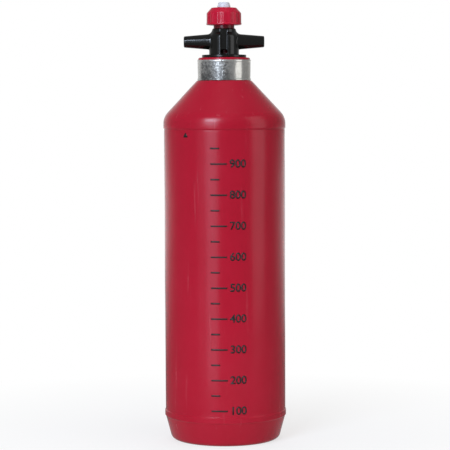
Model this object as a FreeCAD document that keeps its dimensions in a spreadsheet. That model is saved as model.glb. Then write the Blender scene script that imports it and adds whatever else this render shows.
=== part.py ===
import FreeCAD, Part
import math
import os

import Sketcher

# A one-litre camping fuel bottle with a screw-in pouring valve.
# Millimetres. The origin is the middle of the plane that the foot stands on, +Z runs up the bottle's axis,
# the valve head's wings point along X and its pouring port faces -Y.

# Driving sizes: name, value, meaning
SIZES = (
    # Bottle
    ("body_diameter", 82.0, "outside of the straight wall"),
    ("wall", 1.7, "thickness of the blown wall"),
    ("heel_inset", 4.3, "how far the heel's corner lies inside the wall"),
    ("heel_rounding", 4.0, "outside rounding of the heel"),
    ("foot_width", 7.7, "from the heel's corner in to the dome's edge"),
    ("dome_rise", 4.0, "height of the domed base"),
    ("ring_level", 16.0, "height of the base ring's lower edge"),
    ("ring_height", 4.5, "height of the base ring"),
    ("ring_rise", 0.6, "how far the base ring stands out"),
    ("shoulder_level", 212.2, "height of the groove under the shoulder bead"),
    ("groove_height", 0.9, "width of that groove"),
    ("groove_depth", 0.35, "depth of that groove"),
    ("bead_foot_rise", 0.25, "how far the bead stands out at the groove"),
    ("bead_rise", 0.85, "how far the bead's corner stands out before rounding"),
    ("bead_height", 7.4, "from the groove up to the bead's corner"),
    ("shoulder_rounding", 9.5, "outside rounding from bead to cone"),
    ("cone_height", 25.3, "from the bead's corner up to the neck"),
    # Neck and its ferrule
    ("bore_diameter", 27.4, "bore of the neck, at the root of its thread"),
    ("neck_wall", 3.65, "thickness of the neck"),
    ("ferrule_thickness", 0.8, "sheet of the ferrule"),
    ("ferrule_height", 13.75, "height of the ferrule"),
    ("ferrule_rounding", 0.35, "rounding of the ferrule's two rims"),
    ("ferrule_play", 0.05, "gap between ferrule and neck"),
    ("ledge_margin", 0.35, "how far the cone's top stands out past the ferrule"),
    ("lip_height", 1.85, "height of the lip above the ferrule"),
    ("lip_overhang", 0.3, "how far the lip reaches over the ferrule"),
    ("lip_rounding", 1.1, "rounding of the lip's top edge"),
    # Thread between neck and head
    ("thread_pitch", 3.0, "climb of the neck thread in one turn"),
    ("thread_depth", 1.1, "height of a thread ridge"),
    ("thread_base_width", 1.7, "width of a ridge at its foot"),
    ("thread_crest_width", 0.8, "width of a ridge at its crest"),
    ("thread_play", 0.3, "gap between a crest and the facing root"),
    ("thread_margin", 0.3, "plain length left at each end of a ridge"),
    ("ridge_sink", 0.2, "how far a ridge's foot reaches into what carries it"),
    # Gasket
    ("gasket_ledge", 0.7, "how far the gasket reaches over its ledge"),
    ("gasket_thickness", 1.6, "thickness of the gasket"),
    ("gasket_play", 0.1, "gap round the gasket"),
    # Valve housing
    ("flange_margin", 0.7, "how far the flange covers the lip past the gasket"),
    ("flange_thickness", 1.9, "thickness of the flange"),
    ("barrel_height", 14.6, "height of the barrel above the flange"),
    ("barrel_rounding", 0.7, "rounding from barrel to flange"),
    ("collar_height", 3.2, "height of the collar above the barrel"),
    ("collar_wall", 0.9, "thickness of the collar"),
    ("collar_rounding", 1.2, "rounding from collar to barrel"),
    ("channel_depth", 1.9, "depth of the pouring channel"),
    ("channel_width", 5.2, "width of the pouring channel"),
    ("port_width", 4.8, "width of the pouring port"),
    ("port_height", 2.7, "height of the pouring port"),
    ("port_rise", 0.7, "height of the port above the flange"),
    ("wing_span", 54.7, "from wing tip to wing tip"),
    ("wing_root_diameter", 10.4, "wing where it leaves the barrel"),
    ("wing_tip_diameter", 7.55, "wing at its tip"),
    ("wing_tip_rounding", 0.8, "rounding of the wing's tip"),
    ("wing_root_rounding", 0.6, "rounding from wing to barrel"),
    ("wing_drop", 5.8, "depth of the wings' axis below the barrel's top"),
    ("spigot_length", 15.0, "from the flange down to the spigot's end"),
    ("spigot_wall", 2.5, "thickness of the spigot round the seat"),
    ("chamber_diameter", 12.0, "pouring chamber round the stem"),
    ("throat_rise", 1.0, "height above the lip where the pouring chamber starts"),
    ("gland_wall", 2.45, "from the chamber's roof up to the O-ring's pocket"),
    ("counterbore_depth", 7.7, "depth of the collar's bore"),
    # Seat, seal and disc
    ("seat_ledge", 0.5, "step that the seat is pushed against"),
    ("seat_play", 0.05, "gap round the seat"),
    ("seat_thickness", 2.5, "thickness of the seat"),
    ("seat_hole_diameter", 9.2, "hole that the valve closes"),
    ("seat_lip_width", 0.8, "width of the seat's raised lip"),
    ("seat_lip_height", 0.5, "height of the seat's raised lip"),
    ("seal_margin", 1.4, "how far the seal reaches past the seat's lip"),
    ("seal_thickness", 1.6, "thickness of the seal"),
    ("disc_margin", 0.2, "how far the disc reaches past the seal"),
    ("disc_thickness", 1.8, "thickness of the disc"),
    ("clip_diameter", 8.4, "outside of the clip"),
    ("clip_thickness", 0.6, "thickness of the clip"),
    ("clip_groove_depth", 0.5, "depth of the clip's groove in the stem"),
    ("clip_gap", 3.2, "opening in the clip"),
    # Stem, its O-ring and its thread
    ("stem_diameter", 6.0, "stem, and the crest of its thread"),
    ("tail_diameter", 4.8, "thin lower end of the stem"),
    ("tail_margin", 1.2, "length of the stem past the clip"),
    ("slide_play", 0.1, "gap between the stem and what it slides in"),
    ("fit_play", 0.05, "gap between the stem and what is fixed to it"),
    ("washer_play", 0.2, "gap between the stem and a washer"),
    ("oring_section", 1.5, "thickness of the O-ring"),
    ("oring_play", 0.05, "gap round and above the O-ring"),
    ("washer_thickness", 0.8, "thickness of the two washers"),
    ("screw_pitch", 2.0, "climb of the knob on the stem in one turn"),
    ("screw_depth", 0.6, "height of that thread's ridges"),
    ("screw_base_width", 1.0, "width of such a ridge at its foot"),
    ("screw_crest_width", 0.5, "width of such a ridge at its crest"),
    ("screw_play", 0.2, "gap between a crest and the facing root"),
    ("screw_margin", 0.2, "plain length left at each end of a ridge"),
    ("screw_lead_in", 0.7, "thread core below the knob's web"),
    # Knob and cap
    ("knob_gap", 2.3, "from the collar's top up to the knob"),
    ("knob_diameter", 24.0, "knob at its lower rim"),
    ("knob_draft", 0.2, "how much the knob narrows up to its crown"),
    ("knob_height", 11.7, "height of the knob"),
    ("knob_wall", 2.0, "thickness of the knob's skirt"),
    ("core_depth", 6.0, "depth of the hollow under the knob"),
    ("crown_inset", 2.9, "width of the crown's bevel"),
    ("crown_drop", 3.5, "height of the crown's bevel"),
    ("crown_rounding", 0.5, "rounding of the crown's edge"),
    ("rim_height", 1.1, "plain rim below the flutes"),
    ("flute_depth", 0.45, "depth of a flute"),
    ("flute_land", 0.8, "ridge left between two flutes"),
    ("flute_count", 16, "flutes round the knob"),
    ("hub_diameter", 14.1, "hub that slides in the collar"),
    ("hub_wall", 1.4, "thickness of the hub"),
    ("web_rise", 0.5, "height of the threaded web above the knob's rim"),
    ("web_thickness", 4.0, "thickness of the threaded web"),
    ("press_travel", 2.0, "how far the knob can be pressed"),
    ("press_margin", 0.3, "room left below the pressed knob's hub"),
    ("knob_travel", 3.0, "how far the knob climbs when it is loosened"),
    ("stop_margin", 0.2, "room left between the loosened knob and the cap"),
    ("cap_diameter", 9.0, "white cap"),
    ("cap_tip_diameter", 7.9, "white cap at its top, before rounding"),
    ("cap_rounding", 0.6, "rounding of the cap's top"),
    ("cap_play", 0.25, "gap between the cap and the knob's recess"),
    ("cap_stand", 3.7, "height of the cap above the knob"),
    ("cap_crown", 2.4, "thickness of the cap above the stem"),
    # Spring
    ("spring_wire", 0.8, "thickness of the spring's wire"),
    ("spring_diameter", 10.4, "outside of the spring"),
    ("spring_turns", 5, "turns of the spring"),
)

# Places and radii worked out from the driving sizes: name, formula
LAYOUT = (
    # Bottle, from the foot up
    ("body_radius", "Sizes.body_diameter / 2"),
    ("inner_radius", "body_radius - Sizes.wall"),
    ("heel_radius", "body_radius - Sizes.heel_inset"),
    ("foot_inner_radius", "heel_radius - Sizes.foot_width"),
    ("dome_curve", "(foot_inner_radius ^ 2 + Sizes.dome_rise ^ 2) / (2 * Sizes.dome_rise)"),
    ("inner_dome_curve", "dome_curve + Sizes.wall"),
    ("inner_dome_top", "Sizes.dome_rise + Sizes.wall"),
    ("inner_dome_radius", "sqrt(inner_dome_curve ^ 2 - (inner_dome_curve - Sizes.dome_rise) ^ 2)"),
    ("heel_slope", "Sizes.heel_inset / Sizes.ring_level"),
    ("heel_wall", "Sizes.wall * sqrt(1 + heel_slope ^ 2)"),
    ("inner_heel_radius", "heel_radius + heel_slope * Sizes.wall - heel_wall"),
    ("inner_heel_top", "(inner_radius - heel_radius + heel_wall) / heel_slope"),
    ("inner_heel_rounding", "Sizes.heel_rounding - Sizes.wall"),
    ("ring_radius", "body_radius + Sizes.ring_rise"),
    ("ring_face_low", "Sizes.ring_level + Sizes.ring_rise"),
    ("ring_face_high", "Sizes.ring_level + Sizes.ring_height - Sizes.ring_rise"),
    ("ring_top", "Sizes.ring_level + Sizes.ring_height"),
    ("groove_low", "Sizes.shoulder_level - Sizes.groove_height / 2"),
    ("groove_radius", "body_radius - Sizes.groove_depth"),
    ("groove_high", "Sizes.shoulder_level + Sizes.groove_height / 2"),
    ("bead_foot_radius", "body_radius + Sizes.bead_foot_rise"),
    ("bead_radius", "body_radius + Sizes.bead_rise"),
    ("bead_level", "Sizes.shoulder_level + Sizes.bead_height"),
    ("cone_top", "bead_level + Sizes.cone_height"),
    ("inner_shoulder_rounding", "Sizes.shoulder_rounding - Sizes.wall"),
    # Neck
    ("bore_radius", "Sizes.bore_diameter / 2"),
    ("neck_radius", "bore_radius + Sizes.neck_wall"),
    ("ferrule_inner_radius", "neck_radius + Sizes.ferrule_play"),
    ("ferrule_radius", "ferrule_inner_radius + Sizes.ferrule_thickness"),
    ("cone_top_radius", "ferrule_radius + Sizes.ledge_margin"),
    ("cone_slope", "(bead_radius - cone_top_radius) / Sizes.cone_height"),
    ("cone_wall", "Sizes.wall * sqrt(1 + cone_slope ^ 2)"),
    ("inner_shoulder", "cone_top - (inner_radius - cone_top_radius + cone_wall) / cone_slope"),
    ("bore_low", "cone_top - (bore_radius - cone_top_radius + cone_wall) / cone_slope"),
    ("lip_low", "cone_top + Sizes.ferrule_height"),
    ("lip_radius", "neck_radius + Sizes.lip_overhang"),
    ("lip_top", "lip_low + Sizes.lip_height"),
    ("gasket_radius", "bore_radius + Sizes.gasket_ledge"),
    ("gasket_seat_radius", "gasket_radius + Sizes.gasket_play"),
    ("gasket_low", "lip_top - Sizes.gasket_thickness"),
    # Thread between neck and head: the head's ridge runs midway between the turns of the neck's ridge
    ("thread_base_half", "Sizes.thread_base_width / 2"),
    ("thread_crest_half", "Sizes.thread_crest_width / 2"),
    ("thread_end_room", "thread_base_half + Sizes.thread_margin"),
    ("neck_ridge_foot", "bore_radius + Sizes.ridge_sink"),
    ("neck_ridge_crest", "bore_radius - Sizes.thread_depth"),
    ("neck_ridge_start", "bore_low + thread_end_room"),
    ("neck_ridge_climb", "gasket_low - thread_end_room - neck_ridge_start"),
    ("spigot_radius", "neck_ridge_crest - Sizes.thread_play"),
    ("spigot_low", "lip_top - Sizes.spigot_length"),
    ("spigot_ridge_foot", "spigot_radius - Sizes.ridge_sink"),
    ("spigot_ridge_crest", "spigot_radius + Sizes.thread_depth"),
    ("midway", "neck_ridge_start + Sizes.thread_pitch / 2"),
    ("spigot_ridge_room", "midway - spigot_low - thread_end_room"),
    ("spigot_ridge_start", "midway - Sizes.thread_pitch * floor(spigot_ridge_room / Sizes.thread_pitch)"),
    ("spigot_ridge_climb", "gasket_low - thread_end_room - spigot_ridge_start"),
    ("gasket_inner_radius", "spigot_radius + Sizes.thread_play"),
    # Stem radii
    ("stem_radius", "Sizes.stem_diameter / 2"),
    ("tail_radius", "Sizes.tail_diameter / 2"),
    ("tail_hole_radius", "tail_radius + Sizes.fit_play"),
    ("screw_core_radius", "stem_radius - Sizes.screw_depth"),
    ("screw_foot_radius", "screw_core_radius - Sizes.ridge_sink"),
    ("gland_radius", "stem_radius + Sizes.slide_play"),
    ("washer_hole_radius", "stem_radius + Sizes.washer_play"),
    ("oring_curve", "gland_radius + Sizes.oring_section / 2"),
    ("oring_half", "Sizes.oring_section / 2"),
    ("pocket_radius", "gland_radius + Sizes.oring_section + Sizes.oring_play"),
    ("pocket_depth", "Sizes.oring_section + Sizes.oring_play"),
    # Valve housing
    ("flange_radius", "gasket_radius + Sizes.flange_margin"),
    ("flange_top", "lip_top + Sizes.flange_thickness"),
    ("barrel_top", "flange_top + Sizes.barrel_height"),
    ("collar_top", "barrel_top + Sizes.collar_height"),
    ("hub_radius", "Sizes.hub_diameter / 2"),
    ("collar_bore_radius", "hub_radius + Sizes.slide_play"),
    ("collar_radius", "collar_bore_radius + Sizes.collar_wall"),
    ("barrel_radius", "collar_radius + Sizes.channel_depth"),
    ("channel_half", "Sizes.channel_width / 2"),
    ("channel_reach", "barrel_radius + Sizes.channel_depth"),
    ("wing_level", "barrel_top - Sizes.wing_drop"),
    ("wing_start", "(collar_bore_radius + collar_radius) / 2"),
    ("wing_root_radius", "Sizes.wing_root_diameter / 2"),
    ("wing_tip_radius", "Sizes.wing_tip_diameter / 2"),
    ("wing_tip", "Sizes.wing_span / 2"),
    ("wing_round_start", "wing_tip - Sizes.wing_tip_rounding"),
    ("wing_face_radius", "wing_tip_radius - Sizes.wing_tip_rounding"),
    ("port_low", "flange_top + Sizes.port_rise"),
    ("port_high", "port_low + Sizes.port_height"),
    ("port_side", "(Sizes.port_width - Sizes.port_height) / 2"),
    ("seat_pocket_radius", "spigot_radius - Sizes.spigot_wall"),
    ("seat_top", "spigot_low + Sizes.seat_thickness"),
    ("lower_chamber_radius", "seat_pocket_radius - Sizes.seat_ledge"),
    ("chamber_radius", "Sizes.chamber_diameter / 2"),
    ("chamber_low", "lip_top + Sizes.throat_rise"),
    ("lower_chamber_top", "chamber_low - (lower_chamber_radius - chamber_radius)"),
    ("counterbore_floor", "collar_top - Sizes.counterbore_depth"),
    ("pocket_low", "counterbore_floor - pocket_depth"),
    ("chamber_roof", "pocket_low - Sizes.gland_wall"),
    ("oring_level", "pocket_low + oring_half"),
    # Seat, seal, disc, clip and the stem's tail, from the spigot's end down
    ("seat_radius", "seat_pocket_radius - Sizes.seat_play"),
    ("seat_hole_radius", "Sizes.seat_hole_diameter / 2"),
    ("seat_lip_radius", "seat_hole_radius + Sizes.seat_lip_width"),
    ("seat_lip_low", "spigot_low - Sizes.seat_lip_height"),
    ("seal_radius", "seat_lip_radius + Sizes.seal_margin"),
    ("seal_low", "seat_lip_low - Sizes.seal_thickness"),
    ("disc_radius", "seal_radius + Sizes.disc_margin"),
    ("disc_low", "seal_low - Sizes.disc_thickness"),
    ("clip_radius", "Sizes.clip_diameter / 2"),
    ("clip_groove_radius", "tail_radius - Sizes.clip_groove_depth"),
    ("clip_hole_radius", "clip_groove_radius + Sizes.fit_play"),
    ("clip_low", "disc_low - Sizes.clip_thickness"),
    ("clip_gap_half", "Sizes.clip_gap / 2"),
    ("tail_low", "clip_low - Sizes.tail_margin"),
    # Washers, spring, knob and cap, from the collar's bore up
    ("gland_washer_radius", "collar_bore_radius - Sizes.washer_play"),
    ("gland_washer_top", "counterbore_floor + Sizes.washer_thickness"),
    ("hub_low", "gland_washer_top + Sizes.press_travel + Sizes.press_margin"),
    ("hub_bore_radius", "hub_radius - Sizes.hub_wall"),
    ("knob_low", "collar_top + Sizes.knob_gap"),
    ("knob_top", "knob_low + Sizes.knob_height"),
    ("knob_radius", "Sizes.knob_diameter / 2"),
    ("knob_upper_radius", "knob_radius - Sizes.knob_draft"),
    ("core_radius", "knob_radius - Sizes.knob_wall"),
    ("core_top", "knob_low + Sizes.core_depth"),
    ("crown_low", "knob_top - Sizes.crown_drop"),
    ("crown_radius", "knob_upper_radius - Sizes.crown_inset"),
    ("flute_low", "knob_low + Sizes.rim_height"),
    ("flute_chord_half", "pi * knob_radius / Sizes.flute_count - Sizes.flute_land / 2"),
    ("flute_radius", "(flute_chord_half ^ 2 + Sizes.flute_depth ^ 2) / (2 * Sizes.flute_depth)"),
    ("flute_reach", "knob_upper_radius - Sizes.flute_depth + flute_radius"),
    ("flute_x", "flute_reach * cos(180 deg / Sizes.flute_count)"),
    ("flute_y", "flute_reach * sin(180 deg / Sizes.flute_count)"),
    ("web_low", "knob_low + Sizes.web_rise"),
    ("web_high", "web_low + Sizes.web_thickness"),
    ("web_bore_radius", "stem_radius + Sizes.screw_play"),
    ("web_foot_radius", "web_bore_radius + Sizes.ridge_sink"),
    ("web_crest_radius", "web_bore_radius - Sizes.screw_depth"),
    ("thrust_radius", "hub_bore_radius - Sizes.washer_play"),
    ("thrust_low", "web_low - Sizes.washer_thickness"),
    ("cap_radius", "Sizes.cap_diameter / 2"),
    ("cap_tip_radius", "Sizes.cap_tip_diameter / 2"),
    ("recess_radius", "cap_radius + Sizes.cap_play"),
    ("cap_low", "web_high + Sizes.knob_travel + Sizes.stop_margin"),
    ("cap_top", "knob_top + Sizes.cap_stand"),
    ("socket_radius", "screw_core_radius + Sizes.fit_play"),
    ("stem_top", "cap_top - Sizes.cap_crown"),
    ("screw_low", "web_low - Sizes.screw_lead_in"),
    # Thread between stem and knob: the stem's ridge runs midway between the turns of the knob's ridge
    ("screw_base_half", "Sizes.screw_base_width / 2"),
    ("screw_crest_half", "Sizes.screw_crest_width / 2"),
    ("screw_end_room", "screw_base_half + Sizes.screw_margin"),
    ("web_ridge_start", "web_low + screw_end_room"),
    ("web_ridge_climb", "web_high - screw_end_room - web_ridge_start"),
    ("screw_midway", "web_ridge_start + Sizes.screw_pitch / 2"),
    ("stem_ridge_room", "screw_midway - screw_low - screw_end_room"),
    ("stem_ridge_start", "screw_midway - Sizes.screw_pitch * floor(stem_ridge_room / Sizes.screw_pitch)"),
    ("stem_ridge_climb", "cap_low - screw_end_room - stem_ridge_start"),
    # Spring
    ("spring_half_wire", "Sizes.spring_wire / 2"),
    ("spring_curve", "Sizes.spring_diameter / 2 - spring_half_wire"),
    ("spring_start", "gland_washer_top + spring_half_wire"),
    ("spring_climb", "thrust_low - spring_half_wire - spring_start"),
)

LEFT_TURN = 1
RIGHT_TURN = -1
HALF_CIRCLE = "half circle"
FULL_TURN = 360
SAME_PLACE = 1e-4

doc = FreeCAD.newDocument("FuelBottle")
home = {}


# Spreadsheets

def fill_sheet(sheet_name, rows):
    sheet = doc.addObject("Spreadsheet::Sheet", sheet_name)
    for row, (alias, content, note) in enumerate(rows, start=1):
        sheet.set(f"A{row}", alias)
        sheet.set(f"B{row}", content)
        sheet.setAlias(f"B{row}", alias)
        sheet.set(f"C{row}", note)
        home[alias] = sheet_name
    doc.recompute()


def reference(name):
    """The expression for a named value, which may carry a minus sign."""
    plain = name.lstrip("-")
    sign = "-" if name.startswith("-") else ""
    return f"{sign}{home[plain]}.{plain}"


def number(name):
    """A named value, or zero, as a plain number."""
    if name == 0:
        return 0.0
    plain = name.lstrip("-")
    sign = -1 if name.startswith("-") else 1
    return sign * float(doc.getObject(home[plain]).get(plain))


# Sketches

def new_body(name):
    body = doc.addObject("PartDesign::Body", name)
    body.Label = name
    return body


def origin_feature(body, role):
    return next(item for item in body.Origin.OriginFeatures if item.Role == role)


def new_sketch(body, name, role):
    sketch = body.newObject("Sketcher::SketchObject", name)
    sketch.AttachmentSupport = (origin_feature(body, role), [""])
    sketch.MapMode = "FlatFace"
    return sketch


def hold(sketch, kind, *place_and_value):
    """Add a measured constraint whose value is a named one."""
    *place, name = place_and_value
    index = sketch.addConstraint(Sketcher.Constraint(kind, *place, number(name)))
    sketch.setExpression(f"Constraints[{index}]", reference(name))


def pin(sketch, geometry, end, place):
    """Hold one end of a sketch element at a named place."""
    across, up = place
    if across == 0:
        sketch.addConstraint(Sketcher.Constraint("PointOnObject", geometry, end, -2))
    else:
        hold(sketch, "DistanceX", -1, 1, geometry, end, across)
    if up == 0:
        sketch.addConstraint(Sketcher.Constraint("PointOnObject", geometry, end, -1))
    else:
        hold(sketch, "DistanceY", -1, 1, geometry, end, up)


def arc_between(start, finish, radius, turn):
    """The short arc from start to finish that turns left or right."""
    chord = finish - start
    normal = FreeCAD.Vector(-chord.y, chord.x, 0).normalize() * turn
    middle = (start + finish) * 0.5
    centre = middle + normal * math.sqrt(radius ** 2 - (chord.Length / 2) ** 2)
    return Part.Arc(start, centre - normal * radius, finish)


def draw(sketch, outline):
    """Draw a closed outline.

    A point is (x, y), or (x, y, radius, turn) where an arc leaves it. An arc between two points that lie one
    above the other can be a half circle, which is held by its centre.
    """
    corners = [FreeCAD.Vector(number(point[0]), number(point[1]), 0) for point in outline]
    ends = []
    for index, point in enumerate(outline):
        start = corners[index]
        finish = corners[(index + 1) % len(outline)]
        if len(point) == 2:
            geometry = sketch.addGeometry(Part.LineSegment(start, finish), False)
            ends.append((geometry, 1, 2))
        else:
            radius, turn = point[2:]
            half = radius == HALF_CIRCLE
            length = (finish - start).Length / 2 if half else number(radius)
            geometry = sketch.addGeometry(arc_between(start, finish, length, turn), False)
            ends.append((geometry, 1, 2) if turn == LEFT_TURN else (geometry, 2, 1))
            if half:
                hold(sketch, "DistanceX", -1, 1, geometry, 3, point[0])
            else:
                hold(sketch, "Radius", geometry, radius)
    for index, (geometry, first, last) in enumerate(ends):
        following, following_first, _ = ends[(index + 1) % len(ends)]
        sketch.addConstraint(Sketcher.Constraint("Coincident", geometry, last, following, following_first))
        pin(sketch, geometry, first, outline[index][:2])


def draw_circle(sketch, across, up, radius):
    centre = FreeCAD.Vector(number(across), number(up), 0)
    geometry = sketch.addGeometry(Part.Circle(centre, FreeCAD.Vector(0, 0, 1), number(radius)), False)
    pin(sketch, geometry, 3, (across, up))
    hold(sketch, "Radius", geometry, radius)


# Features

def turned(body, name, outline):
    """A solid turned about Z from half of its section."""
    sketch = new_sketch(body, f"{name}_section", "XZ_Plane")
    draw(sketch, outline)
    feature = body.newObject("PartDesign::Revolution", name)
    feature.Profile = sketch
    feature.ReferenceAxis = (sketch, ["V_Axis"])
    doc.recompute()
    return feature


def turned_body(name, outline):
    body = new_body(name)
    turned(body, f"{name}_turned", outline)
    return body


def rounded(body, name, radius, rings):
    """Round the circular edges that lie at the named (radius, level) rings."""
    base = body.Tip
    names = []
    for ring_radius, level in rings:
        found = [f"Edge{index}" for index, edge in enumerate(base.Shape.Edges, start=1)
                 if is_ring(edge, number(ring_radius), number(level))]
        if not found:
            raise RuntimeError(f"{name}: no edge at {ring_radius}, {level}")
        names += found
    return fillet(body, name, radius, names)


def is_ring(edge, radius, level):
    if edge.Degenerated or not isinstance(edge.Curve, Part.Circle):
        return False
    same_radius = abs(edge.Curve.Radius - radius) < SAME_PLACE
    return same_radius and abs(edge.Curve.Center.z - level) < SAME_PLACE


def fillet(body, name, radius, edge_names):
    base = body.Tip
    feature = body.newObject("PartDesign::Fillet", name)
    feature.Base = (base, edge_names)
    feature.setExpression("Radius", reference(radius))
    doc.recompute()
    return feature


def helix(body, name, sketch, pitch, climb):
    """Sweep a sketch round Z along a right-hand helix."""
    feature = body.newObject("PartDesign::AdditiveHelix", name)
    feature.Profile = sketch
    feature.ReferenceAxis = (sketch, ["V_Axis"])
    feature.Mode = "pitch-height-angle"
    feature.setExpression("Pitch", pitch)
    feature.setExpression("Height", reference(climb))
    feature.Angle = 0
    doc.recompute()
    return feature


def ridge(body, name, start, foot, crest, halves, pitch, climb):
    """A thread ridge of trapezoid section, from its foot to its crest."""
    foot_half, crest_half = halves
    sketch = new_sketch(body, f"{name}_section", "XZ_Plane")
    sketch.setExpression("AttachmentOffset.Base.y", reference(start))
    draw(sketch, [(foot, f"-{foot_half}"), (crest, f"-{crest_half}"), (crest, crest_half), (foot, foot_half)])
    return helix(body, name, sketch, reference(pitch), climb)


# Bottle

def make_bottle_shell():
    body = new_body("bottle_shell")
    turned(body, "shell", [
        (0, "dome_rise", "dome_curve", RIGHT_TURN),
        ("foot_inner_radius", 0),
        ("heel_radius", 0),
        ("body_radius", "ring_level"),
        ("ring_radius", "ring_face_low"),
        ("ring_radius", "ring_face_high"),
        ("body_radius", "ring_top"),
        ("body_radius", "groove_low"),
        ("groove_radius", "shoulder_level"),
        ("bead_foot_radius", "groove_high"),
        ("bead_radius", "bead_level"),
        ("cone_top_radius", "cone_top"),
        ("neck_radius", "cone_top"),
        ("neck_radius", "lip_low"),
        ("lip_radius", "lip_low"),
        ("lip_radius", "lip_top"),
        ("gasket_seat_radius", "lip_top"),
        ("gasket_seat_radius", "gasket_low"),
        ("bore_radius", "gasket_low"),
        ("bore_radius", "bore_low"),
        ("inner_radius", "inner_shoulder"),
        ("inner_radius", "inner_heel_top"),
        ("inner_heel_radius", "wall"),
        ("inner_dome_radius", "wall", "inner_dome_curve", LEFT_TURN),
        (0, "inner_dome_top"),
    ])
    rounded(body, "shoulder_round", "shoulder_rounding", [("bead_radius", "bead_level")])
    rounded(body, "inner_shoulder_round", "inner_shoulder_rounding", [("inner_radius", "inner_shoulder")])
    rounded(body, "heel_round", "heel_rounding", [("heel_radius", 0)])
    rounded(body, "inner_heel_round", "inner_heel_rounding", [("inner_heel_radius", "wall")])
    rounded(body, "lip_round", "lip_rounding", [("lip_radius", "lip_top")])
    ridge(body, "neck_ridge", "neck_ridge_start", "neck_ridge_foot", "neck_ridge_crest",
          ("thread_base_half", "thread_crest_half"), "thread_pitch", "neck_ridge_climb")
    return body


def make_neck_ferrule():
    body = turned_body("neck_ferrule", [
        ("ferrule_inner_radius", "cone_top"),
        ("ferrule_radius", "cone_top"),
        ("ferrule_radius", "lip_low"),
        ("ferrule_inner_radius", "lip_low"),
    ])
    rounded(body, "ferrule_round", "ferrule_rounding",
            [("ferrule_radius", "cone_top"), ("ferrule_radius", "lip_low")])
    return body


def make_neck_gasket():
    return turned_body("neck_gasket", [
        ("gasket_inner_radius", "gasket_low"),
        ("gasket_radius", "gasket_low"),
        ("gasket_radius", "lip_top"),
        ("gasket_inner_radius", "lip_top"),
    ])


# Valve housing

def make_valve_housing():
    body = new_body("valve_housing")
    turned(body, "housing", [
        ("seat_pocket_radius", "spigot_low"),
        ("spigot_radius", "spigot_low"),
        ("spigot_radius", "lip_top"),
        ("flange_radius", "lip_top"),
        ("flange_radius", "flange_top"),
        ("barrel_radius", "flange_top"),
        ("barrel_radius", "barrel_top"),
        ("collar_radius", "barrel_top"),
        ("collar_radius", "collar_top"),
        ("collar_bore_radius", "collar_top"),
        ("collar_bore_radius", "counterbore_floor"),
        ("pocket_radius", "counterbore_floor"),
        ("pocket_radius", "pocket_low"),
        ("gland_radius", "pocket_low"),
        ("gland_radius", "chamber_roof"),
        ("chamber_radius", "chamber_roof"),
        ("chamber_radius", "chamber_low"),
        ("lower_chamber_radius", "lower_chamber_top"),
        ("lower_chamber_radius", "seat_top"),
        ("seat_pocket_radius", "seat_top"),
    ])
    rounded(body, "collar_round", "collar_rounding", [("collar_radius", "barrel_top")])
    rounded(body, "barrel_round", "barrel_rounding", [("barrel_radius", "flange_top")])
    add_wings(body)
    cut_channels(body)
    cut_ports(body)
    ridge(body, "spigot_ridge", "spigot_ridge_start", "spigot_ridge_foot", "spigot_ridge_crest",
          ("thread_base_half", "thread_crest_half"), "thread_pitch", "spigot_ridge_climb")
    return body


def add_wings(body):
    """One tapered round wing, turned about its own axis, mirrored to the other side and blended in."""
    sketch = new_sketch(body, "wing_section", "XZ_Plane")
    sketch.setExpression("AttachmentOffset.Base.y", reference("wing_level"))
    draw(sketch, [
        ("wing_start", 0),
        ("wing_tip", 0),
        ("wing_tip", "wing_face_radius", "wing_tip_rounding", LEFT_TURN),
        ("wing_round_start", "wing_tip_radius"),
        ("wing_start", "wing_root_radius"),
    ])
    wing = body.newObject("PartDesign::Revolution", "wing")
    wing.Profile = sketch
    wing.ReferenceAxis = (sketch, ["H_Axis"])
    doc.recompute()
    pair = body.newObject("PartDesign::Mirrored", "wing_pair")
    pair.Originals = [wing]
    pair.MirrorPlane = (origin_feature(body, "YZ_Plane"), [""])
    body.Tip = pair
    doc.recompute()
    fillet(body, "wing_blend", "wing_root_rounding", wing_root_edges(pair.Shape))


def wing_root_edges(shape):
    """The edges where the wings meet the barrel's outside."""
    names = []
    for index, edge in enumerate(shape.Edges, start=1):
        middle = edge.valueAt((edge.FirstParameter + edge.LastParameter) / 2)
        on_barrel = abs(math.hypot(middle.x, middle.y) - number("barrel_radius")) < SAME_PLACE
        within = abs(middle.z - number("wing_level")) < number("wing_root_radius")
        if on_barrel and within and not isinstance(edge.Curve, (Part.Circle, Part.Line)):
            names.append(f"Edge{index}")
    return names


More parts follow.
